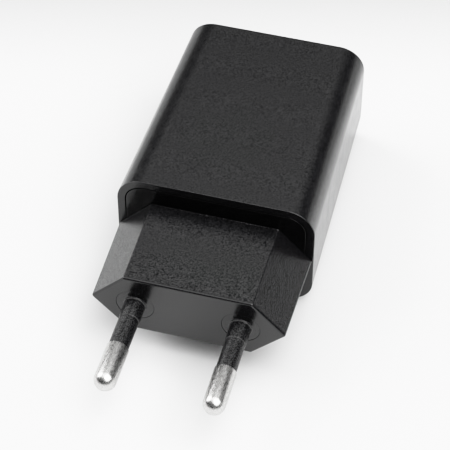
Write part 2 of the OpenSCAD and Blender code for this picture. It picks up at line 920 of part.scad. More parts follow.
housing_sleeve();
end_cap();
plug_block();
pin(-pin_x);  // pin_left
pin(pin_x);  // pin_right
pin_sleeve(-pin_x);  // pin_sleeve_left
pin_sleeve(pin_x);  // pin_sleeve_right
mains_wire(-pin_x, "#5b3a26");  // mains_wire_left
mains_wire(pin_x, "#2c4f8c");  // mains_wire_right
main_board();
solder_joints();
insulation_sheet();
bridge_rectifier();
fuse_resistor();
filter_choke();
electrolytic(-mains_cap_x, mains_cap_y, mains_cap_r, mains_cap_h, mains_cap_pitch, "#3b3f4a");  // mains_capacitor_left
electrolytic(mains_cap_x, mains_cap_y, mains_cap_r, mains_cap_h, mains_cap_pitch, "#3b3f4a");  // mains_capacitor_right
controller_chip();
chip_resistors();
transformer_core_lower();
transformer_core_upper();
transformer_bobbin();
transformer_winding();
transformer_pins();
winding_tape();
core_tape();
safety_capacitor();
output_rectifier();
electrolytic(-output_cap_x, output_cap_y, output_cap_r, output_cap_h, output_cap_pitch, "#2f5d46");  // output_capacitor_left
electrolytic(output_cap_x, output_cap_y, output_cap_r, output_cap_h, output_cap_pitch, "#2f5d46");  // output_capacitor_right
chip_capacitors();
usb_board();
usb_shell();
usb_insulator();
usb_contact_tails();
usb_contact(0);  // usb_contact_1
usb_contact(1);  // usb_contact_2
usb_contact(2);  // usb_contact_3
usb_contact(3);  // usb_contact_4
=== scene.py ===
import math

import bmesh
import bpy
from mathutils import Matrix, Vector
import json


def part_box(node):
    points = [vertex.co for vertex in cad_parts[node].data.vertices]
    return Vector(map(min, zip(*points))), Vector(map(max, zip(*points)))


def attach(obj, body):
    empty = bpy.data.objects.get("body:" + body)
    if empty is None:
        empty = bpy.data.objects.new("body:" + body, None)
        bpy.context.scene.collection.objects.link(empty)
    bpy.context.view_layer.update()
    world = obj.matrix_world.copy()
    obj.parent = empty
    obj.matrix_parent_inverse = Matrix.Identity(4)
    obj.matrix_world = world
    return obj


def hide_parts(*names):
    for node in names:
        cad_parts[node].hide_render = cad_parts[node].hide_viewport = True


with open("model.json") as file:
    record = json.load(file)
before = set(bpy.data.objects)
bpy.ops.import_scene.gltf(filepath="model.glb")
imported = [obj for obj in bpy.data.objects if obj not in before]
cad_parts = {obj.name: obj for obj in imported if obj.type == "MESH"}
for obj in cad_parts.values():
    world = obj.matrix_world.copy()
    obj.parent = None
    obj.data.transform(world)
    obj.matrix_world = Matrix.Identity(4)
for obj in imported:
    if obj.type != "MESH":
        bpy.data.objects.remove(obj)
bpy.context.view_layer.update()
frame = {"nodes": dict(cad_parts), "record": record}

MM = 0.001

# How finely round shapes are divided, the gap closed at a lathe's axis, and angles kept sharp in degrees
CORNER_STEPS = 12
EDGE_STEPS = 4
END_STEPS = 6
NOSE_STEPS = 24
BEND_STEPS = 8
STRIP_STEPS = 2
BRICK_STEPS = 3
LATHE_STEPS = 96
MERGE = 0.0001 * MM
CREASE = 32
TURNED_CREASE = 45

# Case: the port end's size, the walls, the rounded edges, and the ledges that carry the main board
END_W = 34.5 * MM
END_H = 21.9 * MM
CASE_CORNER = 5.1 * MM
CASE_WALL = 1.5 * MM
END_WALL = 1.6 * MM
RIM_EDGE = 0.12 * MM
END_EDGE = 0.3 * MM
RIB_EDGE = 0.1 * MM
RIBS = [{"inner_x": 14.4 * MM, "start_y": 2.8 * MM, "low_z": 0.75 * MM, "high_z": 3.85 * MM},
        {"inner_x": 14.6 * MM, "start_y": 29.8 * MM, "low_z": 5.15 * MM, "high_z": 6.25 * MM}]
LATCH_GAP = 0.2 * MM
LATCH_SKIN = 0.9 * MM

# Port end's window and the collar inside it
WINDOW_GAP = 0.2 * MM
WINDOW_CHAMFER = 0.4 * MM
COLLAR_WALL = 1.0 * MM
COLLAR_LEN = 3.0 * MM

# End cap: plate, skirt and latches
CAP_INSET = 1.65 * MM
CAP_PLATE = 1.6 * MM
CAP_EDGE = 0.08 * MM
SKIRT_INSET = 2.0 * MM
SKIRT_WALL = 1.2 * MM
LATCH_W = 8.0 * MM
LATCH_RISE = 0.8 * MM
LATCH_Y = 2.0 * MM
LATCH_T = 1.0 * MM
SPIGOT_GAP = 0.15 * MM

# Plug block: width, height and flat of its two ends, its fine rear lip, its inside, bosses and catches
FACE = (35.4 * MM, 13.1 * MM, 23.0 * MM)
BASE = (36.2 * MM, 13.7 * MM, 23.3 * MM)
BLOCK_LEN = 17.9 * MM
FACE_EDGE = 0.42 * MM
BLOCK_CORNER = 0.5 * MM
LIP = 0.03 * MM
LIP_LEN = 0.2 * MM
BLOCK_WALL = 2.2 * MM
FRONT_WALL = 3.2 * MM
SPIGOT_INSET = 1.2 * MM
SPIGOT_HALF_W = 14.4 * MM
CAVITY_HALF_W = 13.2 * MM
CATCH_W = 6.0 * MM
CATCH_T = 1.0 * MM
CATCH_RISE = 0.5 * MM
CATCH_GAP = 0.1 * MM
POCKET_R = 3.5 * MM
POCKET_T = 1.2 * MM
BORE_R = 1.52 * MM
BOSS_R = 3.2 * MM
BOSS_END = 7.0 * MM

# USB shell: its sheet, sprung fingers (run back and drop inwards) and board tabs
SHELL_CORNER = 0.6 * MM
SHELL_WALL = 0.3 * MM
FINGER_X = 3.1 * MM
FINGER_W = 1.5 * MM
FINGER_LEN = 5.0 * MM
FINGER_BACK = 2.0 * MM
FINGER_SLIT = 0.3 * MM
FINGER_BEND = [(0, 0), (0.8 * MM, 0), (3.9 * MM, 0.45 * MM), (FINGER_LEN, 0.2 * MM)]
FINGER_BEND_R = 1.0 * MM
TAB_H = 1.5 * MM

# USB insulator: tongue, the grooves under it and the slots for the contacts' tails
INSULATOR_GAP = 0.05 * MM
INSULATOR_EDGE = 0.1 * MM
TONGUE_W = 11.1 * MM
TONGUE_T = 1.84 * MM
TONGUE_EDGE = 0.2 * MM
GROOVE_W = 1.3 * MM
GROOVE_H = 1.05 * MM
GROOVE_END = 0.4 * MM
TAIL_W = 0.9 * MM
TAIL_LOW = 0.3 * MM
TAIL_HIGH = 0.6 * MM

# USB contacts: a strip's run forward and its height over the tongue's underside
CONTACT_TOP = 0.55 * MM
CONTACT_W = 1.0 * MM
CONTACT_T = 0.2 * MM
CONTACT_BEND = [(0, 0.45 * MM), (4.1 * MM, 0.45 * MM), (7.25 * MM, -0.5 * MM), (8.8 * MM, 0.25 * MM)]
CONTACT_BEND_R = 1.2 * MM

# Pins
PIN_R = 2.0 * MM
PIN_CORE_R = 1.5 * MM
BARE_LEN = 9.0 * MM
PIN_EDGE = 0.1 * MM
HEAD_R = 2.3 * MM
HEAD_T = 1.0 * MM
CUP_R = 1.35 * MM
CUP_BORE_R = 0.9 * MM
CUP_DEPTH = 2.5 * MM

# Pin sleeves
FLANGE_R = 3.45 * MM
FLANGE_SINK = 0.05 * MM
FLANGE_EDGE = 0.05 * MM
SLEEVE_EDGE = 0.13 * MM
BEAD_RISE = 0.15 * MM
BEAD_LEN = 0.25 * MM
SLEEVE_STEP = 3.7 * MM
SLEEVE_BASE_R = 1.9 * MM
SLEEVE_TIP_R = 1.8 * MM


def middle_x(node):
    """The x of the node's middle."""
    low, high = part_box(node)
    return (low.x + high.x) / 2


# Places that come from the nodes' boxes and from the record
case_low, case_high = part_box("housing_sleeve")
plug_low, plug_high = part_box("plug_block")
RIM_Y = case_low.y
END_Y = case_high.y
RIM_W = case_high.x - case_low.x
RIM_H = case_high.z
FACE_Y = plug_low.y
PORT = Vector(next(m["pos_m"] for m in frame["record"]["mounts"] if m["name"] == "usb_port"))
PLUG_Z = (plug_low.z + plug_high.z) / 2
PIN_X = {side: middle_x(f"pin_{side}") for side in ("left", "right")}
CONTACT_XS = [middle_x(f"usb_contact_{number}") for number in (1, 2, 3, 4)]
TONGUE_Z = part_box("usb_contact_1")[1].z - CONTACT_TOP


# ---- outlines: lists of (x, z) or (radius, y) ----

def rounded_rect(w, low, high, r):
    """A rectangle w wide, centred on x = 0, with round corners."""
    centres = [(w / 2 - r, high - r), (r - w / 2, high - r), (r - w / 2, low + r), (w / 2 - r, low + r)]
    outline = []
    for corner, (cx, cz) in enumerate(centres):
        for step in range(CORNER_STEPS + 1):
            a = math.radians(90) * (corner + step / CORNER_STEPS)
            outline.append((cx + r * math.cos(a), cz + r * math.sin(a)))
    return outline


def fillet(points, radius, closed=False, steps=EDGE_STEPS):
    """The same path with its corners rounded."""
    path = [Vector(p) for p in points]
    out = []
    for i, p in enumerate(path):
        if not closed and i in (0, len(path) - 1):
            out.append(tuple(p))
            continue
        back = path[i - 1] - p
        ahead = path[(i + 1) % len(path)] - p
        half = back.angle(ahead) / 2
        cut = min(radius / math.tan(half), 0.45 * back.length, 0.45 * ahead.length)
        r = cut * math.tan(half)
        centre = p + (back.normalized() + ahead.normalized()).normalized() * r / math.sin(half)
        start = p + back.normalized() * cut - centre
        end = p + ahead.normalized() * cut - centre
        for step in range(steps + 1):
            spoke = start.lerp(end, step / steps).normalized() * r
            out.append(tuple(centre + spoke))
    return out


def hexagon_corners(size, inset):
    """Slope, half width, half flat and half height of the plug's outline with its sides moved in by inset."""
    w, h, flat = size
    slope = math.atan2(h, w - flat)
    x = w / 2 - inset / math.sin(slope)
    z = h / 2 - inset
    return slope, x, x - z / math.tan(slope), z


def hexagon(size, inset=0.0):
    """The plug's six-sided outline."""
    slope, x, t, z = hexagon_corners(size, inset)
    return [(-x, 0), (-t, -z), (t, -z), (x, 0), (t, z), (-t, z)]


def clipped_hexagon(size, inset, half_w):
    """The same with its two side corners cut off."""
    slope, x, t, z = hexagon_corners(size, inset)
    c = (x - half_w) * math.tan(slope)
    return [(-half_w, -c), (-t, -z), (t, -z), (half_w, -c), (half_w, c), (t, z), (-t, z), (-half_w, c)]


def quarter(radius, steps=EDGE_STEPS):
    """(inset, depth) pairs round an edge, from the face to the side."""
    for step in range(steps + 1):
        a = math.radians(90) * step / steps
        yield radius * (1 - math.sin(a)), radius * (1 - math.cos(a))


def at_y(outline, y, z=0.0):
    """The outline's points in space, at y and raised by z."""
    return [(p[0], y, p[1] + z) for p in outline]


# ---- meshes ----

def make_piece(name, bm, crease=CREASE):
    """A new smooth-shaded piece, with edges sharper than crease degrees kept sharp."""
    bmesh.ops.recalc_face_normals(bm, faces=bm.faces)
    mesh = bpy.data.meshes.new(name)
    bm.to_mesh(mesh)
    bm.free()
    mesh.shade_smooth()
    mesh.set_sharp_from_angle(angle=math.radians(crease))
    piece = bpy.data.objects.new(name, mesh)
    bpy.context.scene.collection.objects.link(piece)
    return piece


def loft(rings, closed=False):
    """A closed skin over rings that have the same number of points."""
    bm = bmesh.new()
    loops = [[bm.verts.new(p) for p in ring] for ring in rings]
    following = loops[1:] + loops[:1] if closed else loops[1:]
    for a, b in zip(loops, following):
        for i in range(len(a)):
            j = (i + 1) % len(a)
            bm.faces.new((a[i], a[j], b[j], b[i]))
    if not closed:
        bm.faces.new(loops[0])
        bm.faces.new(loops[-1])
    return bm


def lathe(profile, x=0.0, z=0.0, closed=False):
    """Turns (radius, y) points round an axis along Y; a profile that isn't closed ends on the axis."""
    turns = [math.tau * i / LATHE_STEPS for i in range(LATHE_STEPS)]
    rings = [[(x + r * math.cos(a), y, z + r * math.sin(a)) for a in turns] for r, y in profile]
    bm = loft(rings, closed)
    if not closed:
        flats = [f for f in bm.faces if len(f.verts) > 4]
        bmesh.ops.delete(bm, geom=flats, context="FACES_ONLY")
    bmesh.ops.remove_doubles(bm, verts=bm.verts, dist=MERGE)
    return bm


def prism(outline, y0, y1, z=0.0):
    """The outline drawn out from y0 to y1."""
    return loft([at_y(outline, y0, z), at_y(outline, y1, z)])


def brick(low, high, edge=0.0):
    """A box between two corners, its edges rounded by edge."""
    bm = bmesh.new()
    bmesh.ops.create_cube(bm, size=1)
    low, high = Vector(low), Vector(high)
    for v in bm.verts:
        v.co = Vector(low[i] if v.co[i] < 0 else high[i] for i in range(3))
    if edge:
        bmesh.ops.bevel(bm, geom=bm.edges, offset=edge, segments=BRICK_STEPS, profile=0.5, affect="EDGES")
    return bm


def ribbon(path, thickness, x, width):
    """A strip with rounded edges along (y, z) points, width wide across X."""
    half_w, half_t = width / 2, thickness / 2
    corners = [(half_w, half_t), (-half_w, half_t), (-half_w, -half_t), (half_w, -half_t)]
    section = fillet(corners, thickness / 4, closed=True, steps=STRIP_STEPS)
    rings = []
    for i, (y, z) in enumerate(path):
        before = Vector(path[max(i - 1, 0)])
        after = Vector(path[min(i + 1, len(path) - 1)])
        along = (after - before).normalized()
        rings.append([(x + u, y - v * along.y, z + v * along.x) for u, v in section])
    return loft(rings)


def combine(piece, meshes, operation):
    """Adds the meshes to the piece, cuts them from it, or keeps what they share with it."""
    tools = [make_piece("tool", bm) for bm in meshes]
    for tool in tools:
        step = piece.modifiers.new(operation, "BOOLEAN")
        step.operation = operation
        step.solver = "EXACT"
        step.object = tool
    bpy.context.view_layer.update()
    shaped = piece.evaluated_get(bpy.context.evaluated_depsgraph_get())
    mesh = bpy.data.meshes.new_from_object(shaped)
    piece.modifiers.clear()
    piece.data = mesh
    mesh.set_sharp_from_angle(angle=math.radians(CREASE))
    for tool in tools:
        bpy.data.objects.remove(tool)


def join_mesh(piece, mesh):
    """Adds a separate closed part to the piece."""
    bm = bmesh.new()
    bm.from_mesh(piece.data)
    bm.from_mesh(mesh)
    bm.to_mesh(piece.data)
    bm.free()
    bpy.data.meshes.remove(mesh)
    piece.data.shade_smooth()
    piece.data.set_sharp_from_angle(angle=math.radians(CREASE))


def weigh(piece):
    """Keeps large flat faces flat in the shading, next to their rounded edges."""
    normals = piece.modifiers.new("normals", "WEIGHTED_NORMAL")
    normals.keep_sharp = True


# ---- materials ----

class Finish:
    """A node material with a Principled shader and helpers for variation in place."""

    def __init__(self, name, roughness=0.5, metallic=0.0, ior=1.5):
        self.material = bpy.data.materials.new(name)
        self.material.use_nodes = True
        self.nodes = self.material.node_tree.nodes
        self.links = self.material.node_tree.links
        self.shader = self.nodes["Principled BSDF"]
        self.shader.inputs["Roughness"].default_value = roughness
        self.shader.inputs["Metallic"].default_value = metallic
        self.shader.inputs["IOR"].default_value = ior
        self.place = self.nodes.new("ShaderNodeTexCoord").outputs["Object"]
        self.height = None

    def noise(self, size, stretch=(1, 1, 1), detail=2.0):
        """Noise with features about size metres across, longer along the stretched axes."""
        mapping = self.nodes.new("ShaderNodeMapping")
        mapping.inputs["Scale"].default_value = [1 / (size * s) for s in stretch]
        self.links.new(self.place, mapping.inputs["Vector"])
        texture = self.nodes.new("ShaderNodeTexNoise")
        texture.inputs["Scale"].default_value = 1.0
        texture.inputs["Detail"].default_value = detail
        self.links.new(mapping.outputs["Vector"], texture.inputs["Vector"])
        return texture.outputs["Fac"]

    def bands(self, pitch, axis):
        """Ridges across an axis, one for each pitch."""
        texture = self.nodes.new("ShaderNodeTexWave")
        texture.wave_type = "BANDS"
        texture.bands_direction = axis
        texture.wave_profile = "SIN"
        texture.inputs["Scale"].default_value = math.tau / pitch / 20
        texture.inputs["Distortion"].default_value = 0.0
        self.links.new(self.place, texture.inputs["Vector"])
        return texture.outputs["Fac"]

    def colour(self, factor, dark, light, low=0.35, high=0.65):
        """Runs the base colour from dark to light as the factor goes from low to high."""
        ramp = self.nodes.new("ShaderNodeValToRGB")
        ramp.color_ramp.elements[0].position = low
        ramp.color_ramp.elements[0].color = (*dark, 1)
        ramp.color_ramp.elements[1].position = high
        ramp.color_ramp.elements[1].color = (*light, 1)
        self.links.new(factor, ramp.inputs["Fac"])
        self.links.new(ramp.outputs["Color"], self.shader.inputs["Base Color"])

    def span(self, factor, low, high, start=0.35, end=0.65, shape="LINEAR"):
        """The factor stretched to run from low to high."""
        spread = self.nodes.new("ShaderNodeMapRange")
        spread.interpolation_type = shape
        spread.inputs["From Min"].default_value = start
        spread.inputs["From Max"].default_value = end
        spread.inputs["To Min"].default_value = low
        spread.inputs["To Max"].default_value = high
        self.links.new(factor, spread.inputs["Value"])
        return spread.outputs["Result"]

    def shine(self, factor, low, high, plain=0.5, where=None):
        """Uneven mirror reflection, as from small pits, and plain where the mask is 0."""
        level = self.span(factor, low, high)
        if where:
            mix = self.nodes.new("ShaderNodeMix")
            mix.inputs["A"].default_value = plain
            self.links.new(where, mix.inputs["Factor"])
            self.links.new(level, mix.inputs["B"])
            level = mix.outputs["Result"]
        self.shader.inputs["Specular IOR Level"].default_value = (low + high) / 2
        self.links.new(level, self.shader.inputs["Specular IOR Level"])

    def rough(self, factor, low, high):
        """Runs the roughness from low to high with the factor."""
        self.links.new(self.span(factor, low, high), self.shader.inputs["Roughness"])

    def bump(self, factor, depth, strength=None):
        """Adds relief of that depth in metres, on top of any earlier relief."""
        relief = self.nodes.new("ShaderNodeBump")
        relief.inputs["Distance"].default_value = depth
        self.links.new(factor, relief.inputs["Height"])
        if strength:
            self.links.new(strength, relief.inputs["Strength"])
        if self.height:
            self.links.new(self.height, relief.inputs["Normal"])
        self.height = relief.outputs["Normal"]
        self.links.new(self.height, self.shader.inputs["Normal"])

    def painted_highlight_ring(self, y, half_width, light):
        """Lightens the base colour on a thin ring across Y: a painted highlight, standing for an edge that
        catches the light.
        """
        split = self.nodes.new("ShaderNodeSeparateXYZ")
        self.links.new(self.place, split.inputs["Vector"])
        offset = self.nodes.new("ShaderNodeMath")
        offset.operation = "SUBTRACT"
        offset.inputs[1].default_value = y
        self.links.new(split.outputs["Y"], offset.inputs[0])
        distance = self.nodes.new("ShaderNodeMath")
        distance.operation = "ABSOLUTE"
        self.links.new(offset.outputs["Value"], distance.inputs[0])
        mix = self.nodes.new("ShaderNodeMixRGB")
        mix.inputs["Color2"].default_value = (*light, 1)
        plain = self.shader.inputs["Base Color"].links[0].from_socket
        ring = self.span(distance.outputs["Value"], 1.0, 0.0, half_width / 2, half_width)
        self.links.new(ring, mix.inputs["Fac"])
        self.links.new(plain, mix.inputs["Color1"])
        self.links.new(mix.outputs["Color"], self.shader.inputs["Base Color"])

    def from_y(self, y, width, shape="LINEAR"):
        """0 in front of y, 1 behind y + width."""
        split = self.nodes.new("ShaderNodeSeparateXYZ")
        self.links.new(self.place, split.inputs["Vector"])
        return self.span(split.outputs["Y"], 0.0, 1.0, y, y + width, shape)


def tint(colour, factor):
    """The colour, lighter or darker by the factor."""
    return tuple(c * factor for c in colour)


def grained_plastic(name, colour, roughness, grain, depth):
    """Moulded plastic with a spark-eroded grain, smooth on the rim."""
    finish = Finish(name, ior=1.55)
    pits = finish.noise(grain, detail=3)
    finish.colour(pits, tint(colour, 0.5), tint(colour, 2.0))
    finish.shine(pits, 0.35, 0.95, 0.35, finish.from_y(RIM_Y, RIM_EDGE))
    finish.rough(finish.noise(2.5 * MM, detail=4), roughness - 0.02, roughness + 0.02)
    finish.bump(pits, depth)
    return finish.material


def plug_plastic(name, colour):
    """Grained on the sides, smooth on the plug face."""
    finish = Finish(name, ior=1.57)
    grain = finish.noise(0.23 * MM, detail=3)
    behind_face = finish.from_y(FACE_Y + FACE_EDGE, 0.3 * MM)
    finish.colour(grain, tint(colour, 0.5), tint(colour, 2.0))
    finish.shine(grain, 0.08, 0.8, 0.37, behind_face)
    finish.links.new(finish.span(behind_face, 0.2, 0.24, 0, 1), finish.shader.inputs["Roughness"])
    finish.bump(grain, 0.03 * MM, finish.span(behind_face, 0.03, 1.0, 0, 1))
    return finish.material


def smooth_plastic(name, colour, roughness=0.35, ior=1.5):
    finish = Finish(name, ior=ior)
    finish.colour(finish.noise(4 * MM), tint(colour, 0.85), tint(colour, 1.15))
    finish.rough(finish.noise(1.2 * MM, detail=4), roughness - 0.05, roughness + 0.06)
    finish.bump(finish.noise(0.5 * MM, detail=2), 0.004 * MM)
    return finish.material


def sleeve_plastic(name, colour):
    """Insulation with fine light scuffs along the pin, painted highlight rings at its root bead and its step,
    and a plain flange in the face.
    """
    finish = Finish(name, ior=1.57)
    scuffs = finish.noise(0.17 * MM, (1, 1.6, 1), detail=2)
    on_face = finish.from_y(FACE_Y - 0.1 * MM, 0.05 * MM)
    finish.colour(scuffs, tint(colour, 0.5), tint(colour, 4.5), 0.45, 0.7)
    # Painted highlights: two light rings in the base colour, one at the root bead and one at the step
    finish.painted_highlight_ring(FACE_Y - 0.2 * MM, 0.06 * MM, (0.07, 0.07, 0.07))
    finish.painted_highlight_ring(FACE_Y - SLEEVE_STEP, 0.07 * MM, (0.05, 0.05, 0.05))
    finish.shine(scuffs, 0.05, 0.38, 0.36, finish.span(on_face, 1.0, 0.0, 0, 1))
    finish.links.new(finish.span(on_face, 0.36, 0.2, 0, 1), finish.shader.inputs["Roughness"])
    finish.bump(scuffs, 0.004 * MM)
    return finish.material


def metal(name, colour, roughness, stretch=(1, 1, 1), depth=0.002 * MM, size=0.15 * MM, dark=0.86):
    """Plated or bare metal, with drawing marks along the stretched axis."""
    finish = Finish(name, metallic=1.0)
    marks = finish.noise(size, stretch, detail=4)
    finish.colour(marks, tint(colour, dark), colour)
    finish.rough(finish.noise(size * 1.7, stretch, detail=3), roughness - 0.06, roughness + 0.09)
    finish.bump(marks, depth)
    finish.shader.inputs["Specular Tint"].default_value = (*tint((1, 1, 1), 0.8), 1)
    return finish.material


def paper(name, colour):
    finish = Finish(name)
    finish.colour(finish.noise(0.8 * MM, (4, 1, 1), detail=5), tint(colour, 0.9), tint(colour, 1.05))
    finish.rough(finish.noise(0.5 * MM), 0.6, 0.75)
    finish.bump(finish.noise(0.15 * MM, detail=4), 0.01 * MM)
    return finish.material


def laminate(name, colour, roughness):
    """Circuit board with copper tracks that show through its mask."""
    finish = Finish(name, ior=1.5)
    tracks = finish.noise(3 * MM, (1, 2, 1), detail=0)
    finish.colour(tracks, tint(colour, 0.75), tint(colour, 1.15), 0.46, 0.5)
    finish.rough(finish.noise(0.6 * MM), roughness, roughness + 0.12)
    finish.bump(finish.noise(0.3 * MM, (3, 1, 1), detail=3), 0.008 * MM)
    return finish.material


def speckled(name, colour, roughness, size, depth):
    """Sintered, fired or dipped surface."""
    finish = Finish(name)
    finish.colour(finish.noise(size, detail=5), tint(colour, 0.7), tint(colour, 1.25))
    finish.rough(finish.noise(size * 2, detail=3), roughness - 0.06, roughness + 0.08)
    finish.bump(finish.noise(size, detail=4), depth)
    return finish.material


def wound(name, colour, roughness, pitch, metallic):
    """Turns of wire or tape, one above the other."""
    finish = Finish(name, metallic=metallic)
    turns = finish.bands(pitch, "Z")
    finish.colour(turns, tint(colour, 0.55), colour, 0.1, 0.6)
    finish.rough(finish.noise(0.6 * MM), roughness - 0.05, roughness + 0.08)
    finish.bump(turns, pitch / 3)
    return finish.material


# One material for each slot of the record
PLATE = (0.74, 0.735, 0.725)
BLACK = (0.005, 0.005, 0.0053)
MATERIALS = {
    "case_plastic": grained_plastic("case_plastic", BLACK, 0.22, grain=0.26 * MM, depth=0.015 * MM),
    "cap_plastic": smooth_plastic("cap_plastic", tint(BLACK, 0.5), 0.18, ior=1.38),
    "plug_plastic": plug_plastic("plug_plastic", BLACK),
    "pin_metal": metal("pin_metal", PLATE, 0.27, (1, 5, 1), depth=0.0008 * MM, size=0.09 * MM, dark=0.55),
    "pin_insulation": sleeve_plastic("pin_insulation", BLACK),
    "wire_brown": smooth_plastic("wire_brown", (0.16, 0.07, 0.035)),
    "wire_blue": smooth_plastic("wire_blue", (0.03, 0.09, 0.3)),
    "board_laminate": laminate("board_laminate", (0.45, 0.33, 0.14), 0.4),
    "board_green": laminate("board_green", (0.03, 0.16, 0.07), 0.28),
    "solder": metal("solder", (0.62, 0.63, 0.65), 0.3, size=0.4 * MM, depth=0.01 * MM),
    "insulation_paper": paper("insulation_paper", (0.68, 0.64, 0.5)),
    "chip_epoxy": speckled("chip_epoxy", (0.03, 0.03, 0.032), 0.55, size=0.12 * MM, depth=0.006 * MM),
    "chip_ceramic": speckled("chip_ceramic", (0.42, 0.3, 0.18), 0.4, size=0.2 * MM, depth=0.004 * MM),
    "resistor_coat": speckled("resistor_coat", (0.1, 0.24, 0.14), 0.5, size=0.4 * MM, depth=0.02 * MM),
    "ferrite": speckled("ferrite", (0.06, 0.06, 0.065), 0.45, size=0.25 * MM, depth=0.01 * MM),
    "bobbin_plastic": smooth_plastic("bobbin_plastic", (0.03, 0.03, 0.032), 0.45),
    "winding_copper": wound("winding_copper", (0.5, 0.2, 0.08), 0.3, pitch=0.28 * MM, metallic=0.8),
    "tape_yellow": wound("tape_yellow", (0.72, 0.5, 0.07), 0.3, pitch=2.4 * MM, metallic=0.0),
    "lead_metal": metal("lead_metal", (0.66, 0.67, 0.68), 0.3, (1, 1, 8)),
    "can_dark": smooth_plastic("can_dark", (0.04, 0.05, 0.08), 0.25),
    "can_green": smooth_plastic("can_green", (0.03, 0.13, 0.08), 0.25),
    "disc_blue": speckled("disc_blue", (0.03, 0.13, 0.36), 0.3, size=1.2 * MM, depth=0.03 * MM),
    "port_steel": metal("port_steel", (0.6, 0.6, 0.61), 0.24, (6, 1, 1), depth=0.001 * MM),
    "port_insulator": smooth_plastic("port_insulator", (0.78, 0.77, 0.73), 0.42),
    "contact_gold": metal("contact_gold", (0.8, 0.58, 0.22), 0.2, (1, 8, 1), depth=0.001 * MM),
}


def dress(piece, node, body="charger"):
    """Gives a new piece the node's material and place among the bodies."""
    slot = next(s["material_slot"] for s in frame["record"]["subparts"] if s["node"] == node)
    piece.data.materials.clear()
    piece.data.materials.append(MATERIALS[slot])
    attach(piece, body)
    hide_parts(node)


def dress_cad_nodes():
    """Every CAD node gets its slot's material."""
    for part in frame["record"]["subparts"]:
        node = frame["nodes"][part["node"]]
        node.data.materials.clear()
        node.data.materials.append(MATERIALS[part["material_slot"]])


# ---- case ----

def case_ring(y, inset=0.0):
    """The case's outline at y, moved in by inset."""
    along = (y - RIM_Y) / (END_Y - RIM_Y)
    w = RIM_W + (END_W - RIM_W) * along
    h = RIM_H + (END_H - RIM_H) * along
    return at_y(rounded_rect(w - 2 * inset, inset, h - inset, CASE_CORNER - inset), y)


def port_ring(y, grow):
    """The USB shell's outline at y, moved out by grow."""
    low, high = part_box("usb_shell")
    w = high.x - low.x
    h = high.z - low.z
    outline = rounded_rect(w + 2 * grow, -h / 2 - grow, h / 2 + grow, SHELL_CORNER + grow)
    return at_y(outline, y, PORT.z)


def case_rib(side, inner_x, start_y, low_z, high_z):
    """A ledge on the inside of a side wall, rooted half way into it."""
    inner, outer = sorted((side * inner_x, side * RIM_W / 2))
    rib = make_piece("rib", brick((inner, start_y, low_z), (outer, END_Y, high_z), RIB_EDGE))
    ends = (RIM_Y, END_Y - END_WALL / 2)
    combine(rib, [loft([case_ring(y, CASE_WALL / 2) for y in ends])], "INTERSECT")
    bm = bmesh.new()
    bm.from_mesh(rib.data)
    bpy.data.objects.remove(rib)
    return bm


def build_case():
    """One skin: rim, outside, port end, port window, collar, inside, and back to the rim."""
    inner_y = END_Y - END_WALL
    rings = [case_ring(RIM_Y + depth, inset) for inset, depth in quarter(RIM_EDGE)]
    rings += [case_ring(END_Y - depth, inset)
              for inset, depth in reversed(list(quarter(END_EDGE, END_STEPS)))]
    rings += [port_ring(END_Y, WINDOW_GAP + WINDOW_CHAMFER),
              port_ring(END_Y - WINDOW_CHAMFER, WINDOW_GAP),
              port_ring(inner_y - COLLAR_LEN, WINDOW_GAP),
              port_ring(inner_y - COLLAR_LEN, WINDOW_GAP + COLLAR_WALL),
              port_ring(inner_y, WINDOW_GAP + COLLAR_WALL),
              case_ring(inner_y, CASE_WALL)]
    rings += [case_ring(RIM_Y + depth, CASE_WALL - inset)
              for inset, depth in reversed(list(quarter(CAP_EDGE)))]
    case = make_piece("case_shell", loft(rings, closed=True))
    combine(case, [case_rib(side, **rib) for side in (-1, 1) for rib in RIBS], "UNION")
    half = LATCH_W / 2 + LATCH_GAP
    pocket_y = RIM_Y + CAP_PLATE + LATCH_Y - LATCH_GAP
    pocket_end = pocket_y + LATCH_T + 2 * LATCH_GAP
    inside = CASE_WALL + MM / 2
    lower = brick((-half, pocket_y, LATCH_SKIN), (half, pocket_end, inside))
    upper = brick((-half, pocket_y, RIM_H - inside), (half, pocket_end, RIM_H - LATCH_SKIN))
    combine(case, [lower, upper], "DIFFERENCE")
    weigh(case)
    dress(case, "housing_sleeve")


# ---- end cap ----

def build_cap():
    """The plate in the rim, with its skirt and latches behind."""
    def ring(y, inset):
        return at_y(rounded_rect(RIM_W - 2 * inset, inset, RIM_H - inset, CASE_CORNER - inset), y)

    skirt_y = RIM_Y + CAP_PLATE
    skirt_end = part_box("end_cap")[1].y
    rings = [ring(RIM_Y + depth, CAP_INSET + inset) for inset, depth in quarter(CAP_EDGE)]
    rings += [ring(skirt_y, CAP_INSET), ring(skirt_y, SKIRT_INSET), ring(skirt_end, SKIRT_INSET),
              ring(skirt_end, SKIRT_INSET + SKIRT_WALL), ring(skirt_y, SKIRT_INSET + SKIRT_WALL)]
    cap = make_piece("rim_plate", loft(rings))
    window = clipped_hexagon(BASE, SPIGOT_INSET - SPIGOT_GAP, SPIGOT_HALF_W + SPIGOT_GAP)
    combine(cap, [prism(window, RIM_Y - MM, skirt_y + MM, PLUG_Z)], "DIFFERENCE")
    half = LATCH_W / 2
    y0 = skirt_y + LATCH_Y
    lower = brick((-half, y0, SKIRT_INSET - LATCH_RISE), (half, y0 + LATCH_T, SKIRT_INSET + MM / 2))
    upper = brick((-half, y0, RIM_H - SKIRT_INSET - MM / 2),
                  (half, y0 + LATCH_T, RIM_H - SKIRT_INSET + LATCH_RISE))
    combine(cap, [lower, upper], "UNION")
    weigh(cap)
    dress(cap, "end_cap")


# ---- plug ----

def block_ring(y, inset=0.0):
    """The plug block's outline at y, moved in by inset, its corners slightly rounded."""
    along = (y - FACE_Y) / BLOCK_LEN
    size = [a + (b - a) * along for a, b in zip(FACE, BASE)]
    return at_y(fillet(hexagon(size, inset), BLOCK_CORNER - inset, closed=True), y, PLUG_Z)


